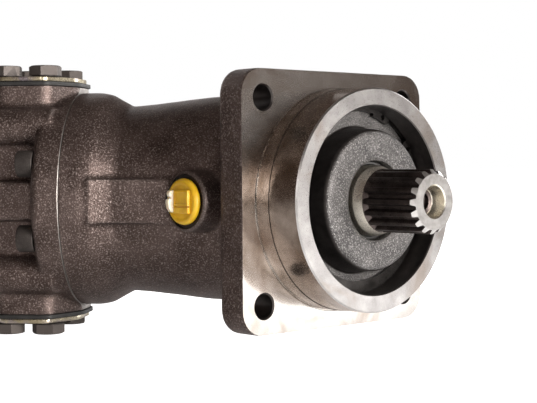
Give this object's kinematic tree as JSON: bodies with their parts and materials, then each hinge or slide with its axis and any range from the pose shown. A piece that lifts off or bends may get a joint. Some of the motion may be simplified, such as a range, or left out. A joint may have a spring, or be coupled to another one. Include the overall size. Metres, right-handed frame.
{
  "type": "bent-axis axial piston pump",
  "caption": "Bent-axis axial piston pump with a square mounting flange, a splined shaft, angled cast housing and covered side ports.",
  "frame": {"origin": "centre of the mounting flange's front face, on the drive shaft's axis", "axes": "+X out along the drive shaft, away from the flange; +Z along the ports' axis, out of port A; the rear end bends 40 degrees towards -Y"},
  "size_m": [0.2997, 0.2271, 0.1586],
  "materials": {
    "cast_iron": "sand-cast, dark brown-grey",
    "cover_iron": "sand-cast, light grey, unpainted",
    "shaft_steel": "machined and ground, oiled",
    "bright_steel": "machined and ground",
    "bolt_steel": "black-oxide",
    "spring_steel": "blued spring steel",
    "zinc_steel": "yellow zinc plate",
    "bronze": "lapped",
    "rubber": "matte black",
    "plug_plastic": "moulded yellow"
  },
  "bodies": {
    "housing": {"housing": "cast_iron", "port_plate": "cast_iron", "joint_seal": "rubber", "port_plate_screw_1": "bolt_steel", "port_plate_screw_2": "bolt_steel", "port_plate_screw_3": "bolt_steel", "port_plate_screw_4": "bolt_steel", "port_plate_screw_5": "bolt_steel", "port_plate_screw_6": "bolt_steel", "port_plate_screw_7": "bolt_steel", "port_plate_screw_8": "bolt_steel", "port_a_gasket": "rubber", "port_a_cover": "zinc_steel", "port_a_bolt_1": "bolt_steel", "port_a_bolt_2": "bolt_steel", "port_a_bolt_3": "bolt_steel", "port_a_bolt_4": "bolt_steel", "port_b_gasket": "rubber", "port_b_cover": "zinc_steel", "port_b_bolt_1": "bolt_steel", "port_b_bolt_2": "bolt_steel", "port_b_bolt_3": "bolt_steel", "port_b_bolt_4": "bolt_steel", "drain_plug_inside": "plug_plastic", "drain_plug_outside": "plug_plastic", "seal_cover": "cover_iron", "cover_seal": "rubber", "shaft_seal": "rubber", "retaining_ring": "spring_steel", "bearing_shim": "bright_steel", "front_bearing_cup": "bright_steel", "rear_bearing_cup": "bright_steel", "control_plate": "bronze"},
    "shaft": {"drive_shaft": "shaft_steel", "retaining_plate": "bright_steel", "front_bearing_cone": "bright_steel", "rear_bearing_cone": "bright_steel", "bearing_spacer": "bright_steel"},
    "barrel": {"cylinder_barrel": "bright_steel", "centre_pin": "bright_steel", "centre_spring": "spring_steel"},
    "front_rollers": {"front_bearing_rollers": "bright_steel"},
    "rear_rollers": {"rear_bearing_rollers": "bright_steel"},
    "piston_ball_1": {"piston_ball_1": "bright_steel"},
    "piston_1": {"piston_1": "bright_steel"},
    "piston_ball_2": {"piston_ball_2": "bright_steel"},
    "piston_2": {"piston_2": "bright_steel"},
    "piston_ball_3": {"piston_ball_3": "bright_steel"},
    "piston_3": {"piston_3": "bright_steel"},
    "piston_ball_4": {"piston_ball_4": "bright_steel"},
    "piston_4": {"piston_4": "bright_steel"},
    "piston_ball_5": {"piston_ball_5": "bright_steel"},
    "piston_5": {"piston_5": "bright_steel"},
    "piston_ball_6": {"piston_ball_6": "bright_steel"},
    "piston_6": {"piston_6": "bright_steel"},
    "piston_ball_7": {"piston_ball_7": "bright_steel"},
    "piston_7": {"piston_7": "bright_steel"}
  },
  "joints": [
    {"name": "shaft_spin", "type": "hinge", "parent": "housing", "child": "shaft", "pos_m": [0, 0, 0], "axis": [1, 0, 0], "continuous": true},
    {"name": "barrel_spin", "type": "hinge", "parent": "housing", "child": "barrel", "pos_m": [-0.06, 0, 0], "axis": [0.766, 0.6428, 0], "continuous": true},
    {"name": "front_rollers_spin", "type": "hinge", "parent": "housing", "child": "front_rollers", "pos_m": [-0.009, 0, 0], "axis": [1, 0, 0], "continuous": true},
    {"name": "rear_rollers_spin", "type": "hinge", "parent": "housing", "child": "rear_rollers", "pos_m": [-0.027, 0, 0], "axis": [1, 0, 0], "continuous": true},
    {"name": "piston_1_swivel", "type": "hinge", "parent": "shaft", "child": "piston_ball_1", "pos_m": [-0.06, 0.031, 0], "axis": [1, 0, 0], "continuous": true},
    {"name": "piston_1_swing", "type": "hinge", "parent": "piston_ball_1", "child": "piston_1", "pos_m": [-0.06, 0.031, 0], "axis": [0.766, 0.6428, 0], "continuous": true},
    {"name": "piston_2_swivel", "type": "hinge", "parent": "shaft", "child": "piston_ball_2", "pos_m": [-0.06, 0.01933, 0.02424], "axis": [1, 0, 0], "continuous": true},
    {"name": "piston_2_swing", "type": "hinge", "parent": "piston_ball_2", "child": "piston_2", "pos_m": [-0.06, 0.01933, 0.02424], "axis": [0.766, 0.6428, 0], "continuous": true},
    {"name": "piston_3_swivel", "type": "hinge", "parent": "shaft", "child": "piston_ball_3", "pos_m": [-0.06, -0.0069, 0.03022], "axis": [1, 0, 0], "continuous": true},
    {"name": "piston_3_swing", "type": "hinge", "parent": "piston_ball_3", "child": "piston_3", "pos_m": [-0.06, -0.0069, 0.03022], "axis": [0.766, 0.6428, 0], "continuous": true},
    {"name": "piston_4_swivel", "type": "hinge", "parent": "shaft", "child": "piston_ball_4", "pos_m": [-0.06, -0.02793, 0.01345], "axis": [1, 0, 0], "continuous": true},
    {"name": "piston_4_swing", "type": "hinge", "parent": "piston_ball_4", "child": "piston_4", "pos_m": [-0.06, -0.02793, 0.01345], "axis": [0.766, 0.6428, 0], "continuous": true},
    {"name": "piston_5_swivel", "type": "hinge", "parent": "shaft", "child": "piston_ball_5", "pos_m": [-0.06, -0.02793, -0.01345], "axis": [1, 0, 0], "continuous": true},
    {"name": "piston_5_swing", "type": "hinge", "parent": "piston_ball_5", "child": "piston_5", "pos_m": [-0.06, -0.02793, -0.01345], "axis": [0.766, 0.6428, 0], "continuous": true},
    {"name": "piston_6_swivel", "type": "hinge", "parent": "shaft", "child": "piston_ball_6", "pos_m": [-0.06, -0.0069, -0.03022], "axis": [1, 0, 0], "continuous": true},
    {"name": "piston_6_swing", "type": "hinge", "parent": "piston_ball_6", "child": "piston_6", "pos_m": [-0.06, -0.0069, -0.03022], "axis": [0.766, 0.6428, 0], "continuous": true},
    {"name": "piston_7_swivel", "type": "hinge", "parent": "shaft", "child": "piston_ball_7", "pos_m": [-0.06, 0.01933, -0.02424], "axis": [1, 0, 0], "continuous": true},
    {"name": "piston_7_swing", "type": "hinge", "parent": "piston_ball_7", "child": "piston_7", "pos_m": [-0.06, 0.01933, -0.02424], "axis": [0.766, 0.6428, 0], "continuous": true}
  ],
  "couplings": [
    {"joint": "barrel_spin", "follows": "shaft_spin", "ratio": 1},
    {"joint": "front_rollers_spin", "follows": "shaft_spin", "ratio": 0.43},
    {"joint": "rear_rollers_spin", "follows": "shaft_spin", "ratio": 0.43},
    {"joint": "piston_1_swivel", "follows": "shaft_spin", "ratio": -1},
    {"joint": "piston_1_swing", "follows": "shaft_spin", "ratio": -1},
    {"joint": "piston_2_swivel", "follows": "shaft_spin", "ratio": -1},
    {"joint": "piston_2_swing", "follows": "shaft_spin", "ratio": -1},
    {"joint": "piston_3_swivel", "follows": "shaft_spin", "ratio": -1},
    {"joint": "piston_3_swing", "follows": "shaft_spin", "ratio": -1},
    {"joint": "piston_4_swivel", "follows": "shaft_spin", "ratio": -1},
    {"joint": "piston_4_swing", "follows": "shaft_spin", "ratio": -1},
    {"joint": "piston_5_swivel", "follows": "shaft_spin", "ratio": -1},
    {"joint": "piston_5_swing", "follows": "shaft_spin", "ratio": -1},
    {"joint": "piston_6_swivel", "follows": "shaft_spin", "ratio": -1},
    {"joint": "piston_6_swing", "follows": "shaft_spin", "ratio": -1},
    {"joint": "piston_7_swivel", "follows": "shaft_spin", "ratio": -1},
    {"joint": "piston_7_swing", "follows": "shaft_spin", "ratio": -1}
  ]
}
